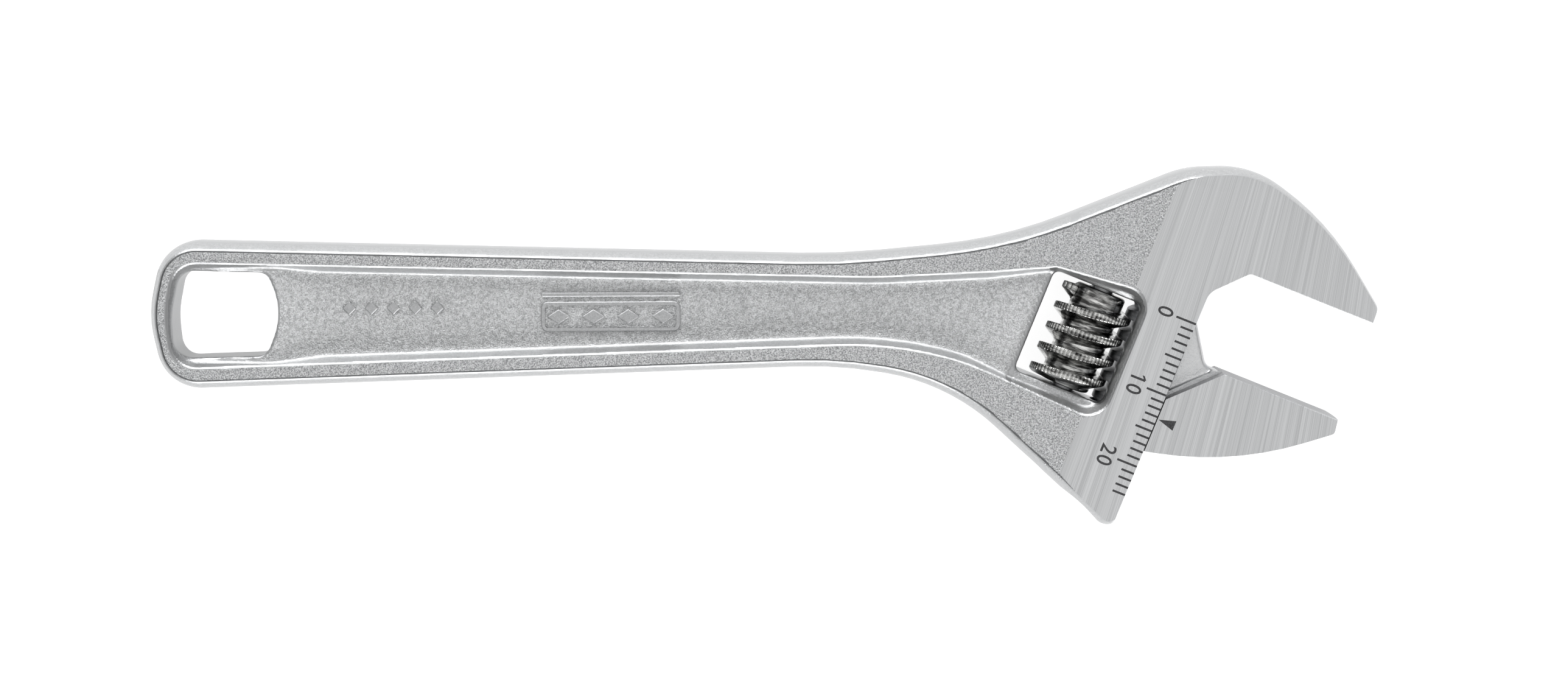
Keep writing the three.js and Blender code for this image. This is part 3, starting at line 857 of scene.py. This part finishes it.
# the thread winds up the worm, low at both ends, with the knurl's notches in its crest
def makeThread():
    inner = worm["root"] - 0.3
    section = threadSection()
    turns = (worm["end"] - worm["start"]) / worm["pitch"]
    steps = round(turns * worm["notches"] * worm["stepsPerNotch"])
    fadeSteps = worm["notches"] * worm["stepsPerNotch"] * worm["fadeTurns"]
    rings = []
    for step in range(steps + 1):
        height = worm["start"] + (worm["end"] - worm["start"]) * step / steps
        turn = (height - worm["phase"]) / worm["pitch"] * 2 * math.pi
        fade = min(1, 0.2 + min(step, steps - step) / fadeSteps)
        wave = 0.5 - 0.5 * math.cos(2 * math.pi * step / worm["stepsPerNotch"])
        notch = worm["notchDepth"] * wave ** worm["notchSharpness"]
        ring = []
        for radius, offset in section:
            onCrest = radius > worm["radius"] - 0.03 and abs(offset) < worm["crest"] / 2 - 0.1
            knurl = notch if onCrest else 0
            ring.append(onWorm(inner + (radius - inner) * fade - knurl * fade, turn, height + offset))
        rings.append(ring)
    return ringsSolid("thread", rings)


def makeWorm():
    bottom, top, root = worm["bottom"], worm["top"], worm["root"]
    thread = makeThread()
    join(thread, turnedAlongSlide("trim", 0, [(bottom + 0.15, 8), (top - 0.15, 8)], 24), "INTERSECT")
    core = turnedAlongSlide("worm_knurled", 0, [
        (bottom, root - 0.35), (bottom + 0.12, root - 0.12), (bottom + 0.35, root),
        (top - 0.35, root), (top - 0.12, root - 0.12), (top, root - 0.35)], 192)
    join(core, thread, "UNION")
    bore = head["pinRadius"] + 0.3
    join(core, turnedAlongSlide("bore", 0, [(bottom - 1, bore), (top + 1, bore)], 64))
    pocket = worm["springPocket"]
    pocketTop = bottom + worm["pocketDepth"]
    join(core, turnedAlongSlide("pocket", 0, [(bottom - 1, pocket), (pocketTop, pocket)], 64))
    return core


wormPiece = makeWorm()
print("wrench: worm", len(wormPiece.data.polygons))


# Spring and pin, mostly out of sight inside the body

spring = {"wire": 0.22, "radius": 2.15, "turns": 5, "length": 3.5, "sides": 14, "stepsPerTurn": 64}


def makeSpring():
    steps = spring["turns"] * spring["stepsPerTurn"]
    base = worm["bottom"] + 0.35
    centres = []
    for step in range(steps + 1):
        t = step / steps
        turn = spring["turns"] * 2 * math.pi * t
        centres.append(Vector(onWorm(spring["radius"], turn, base + spring["length"] * t)))
    axis = Vector(atHead(0, 1)[:2] + (0,))
    rings = []
    for index, centre in enumerate(centres):
        before = centres[max(0, index - 1)]
        after = centres[min(steps, index + 1)]
        along = (after - before).normalized()
        side = along.cross(axis).normalized()
        up = side.cross(along).normalized()
        ring = []
        for k in range(spring["sides"]):
            angle = 2 * math.pi * k / spring["sides"]
            ring.append(centre + spring["wire"] * (side * math.cos(angle) + up * math.sin(angle)))
        rings.append(ring)
    return ringsSolid("worm_spring_coil", rings)


pin = {"bottom": -16.2, "headTop": -11.3, "top": 11.2, "headRadius": 2.0}


def makePin():
    radius, big = head["pinRadius"], pin["headRadius"]
    bottom, headTop, top = pin["bottom"], pin["headTop"], pin["top"]
    piece = turnedAlongSlide("worm_pin_turned", 0, [
        (bottom, big - 0.25), (bottom + 0.25, big), (headTop - 0.2, big), (headTop, big - 0.2),
        (headTop + 0.02, radius), (top - 0.3, radius), (top, radius - 0.3)], 72)
    slot = roundedOutline([atHead(-0.35, bottom - 1), atHead(0.35, bottom - 1),
                           atHead(0.35, bottom + 0.9), atHead(-0.35, bottom + 0.9)])
    return join(piece, plate("slot", slot, -4, 4))


springPiece = makeSpring()
pinPiece = makePin()
print("wrench: spring and pin")

finishPiece(body, [forgedSkin, groundSkin], "frame", bodyFinish)
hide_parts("body")
finishPiece(slidingJaw, [jawSkinPaintedLight, groundSkin, toothSkin], "jaw", jawFinish)
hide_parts("sliding_jaw")
finishPiece(wormPiece, [wormSkin], "screw")
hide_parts("worm")
finishPiece(springPiece, [springSkin], "screw")
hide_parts("worm_spring")
finishPiece(pinPiece, [pinSkin], "frame")
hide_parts("worm_pin")
for mark in [ticks] + numerals:
    finishPiece(mark, [markSkin], "frame")
finishPiece(pointerMark, [markSkin], "jaw")
print("wrench: pieces finished")


# Floor, light and camera

view = {"distance": 0.44, "tilt": 5.6, "roll": 0.3, "lens": 77.2, "aim": (-38.96, 0.42, 0.0)}


def paleFloor():
    material, tree = newMaterial("pale_matt_paper")
    place = addNode(tree, "ShaderNodeTexCoord").outputs["Object"]
    rough = addNode(tree, "ShaderNodeMapRange", {"Value": noise(tree, place, 900.0, 2.0), 3: 0.55, 4: 0.65})
    shader = addNode(tree, "ShaderNodeBsdfPrincipled", {
        "Base Color": (0.4, 0.4, 0.4, 1), "Roughness": rough.outputs[0],
        "Emission Color": (1, 1, 1, 1), "Emission Strength": 0.88})
    closeMaterial(tree, shader)
    floor = makeObject("floor", bpy.data.meshes.new("floor"))
    bm = bmesh.new()
    bmesh.ops.create_grid(bm, x_segments=1, y_segments=1, size=1.5)
    bm.to_mesh(floor.data)
    bm.free()
    floor.data.transform(Matrix.Translation((0, 0, -0.0002)))
    floor.data.materials.append(material)


def softLight(name, place, size, power):
    lamp = bpy.data.lights.new(name, "AREA")
    lamp.shape = "RECTANGLE"
    lamp.size, lamp.size_y = size
    lamp.energy = power
    holder = bpy.data.objects.new(name, lamp)
    bpy.context.scene.collection.objects.link(holder)
    holder.location = place
    holder.rotation_euler = (-Vector(place)).to_track_quat("-Z", "Y").to_euler()


# a white tent: brightest overhead, greyer half way down, light again at the horizon
def studio():
    paleFloor()
    softLight("key_softbox", (-0.1, 0.9, 0.35), (1.2, 0.4), 7.5)
    softLight("fill_softbox", (0.1, -0.9, 0.3), (1.2, 0.3), 6.0)
    world = bpy.data.worlds.new("studio")
    bpy.context.scene.world = world
    world.use_nodes = True
    tree = world.node_tree
    tree.nodes.clear()
    towards = addNode(tree, "ShaderNodeTexCoord").outputs["Generated"]
    height = addNode(tree, "ShaderNodeSeparateXYZ", {"Vector": towards}).outputs["Z"]
    ramp = addNode(tree, "ShaderNodeValToRGB", {"Fac": height})
    stops = ramp.color_ramp
    stops.elements[0].position = 0.0
    stops.elements[0].color = (0.8, 0.8, 0.8, 1)
    stops.elements[1].position = 1.0
    stops.elements[1].color = (0.95, 0.95, 0.95, 1)
    for position, level in ((0.3, 0.6), (0.7, 0.5), (0.86, 0.85), (0.97, 1.0)):
        stops.elements.new(position).color = (level, level, level, 1)
    air = addNode(tree, "ShaderNodeBackground", {"Color": ramp.outputs[0], "Strength": 1.0})
    addNode(tree, "ShaderNodeOutputWorld", {"Surface": air.outputs[0]})
    bpy.context.scene.view_settings.view_transform = "Standard"


def makeCamera():
    lens = bpy.data.cameras.new("camera")
    lens.lens = view["lens"]
    lens.sensor_width = 36.0
    lens.clip_start = 0.01
    camera = bpy.data.objects.new("camera", lens)
    bpy.context.scene.collection.objects.link(camera)
    tilt = math.radians(view["tilt"])
    roll = Matrix.Rotation(-math.radians(view["roll"]), 3, "Z")
    away = roll @ Vector((0, math.sin(tilt), math.cos(tilt)))
    up = roll @ Vector((0, math.cos(tilt), -math.sin(tilt)))
    side = up.cross(away)
    turn = Matrix((side, up, away)).transposed().to_4x4()
    camera.matrix_world = Matrix.Translation(toFrame @ Vector(view["aim"]) + away * view["distance"]) @ turn
    bpy.context.scene.camera = camera


studio()
makeCamera()
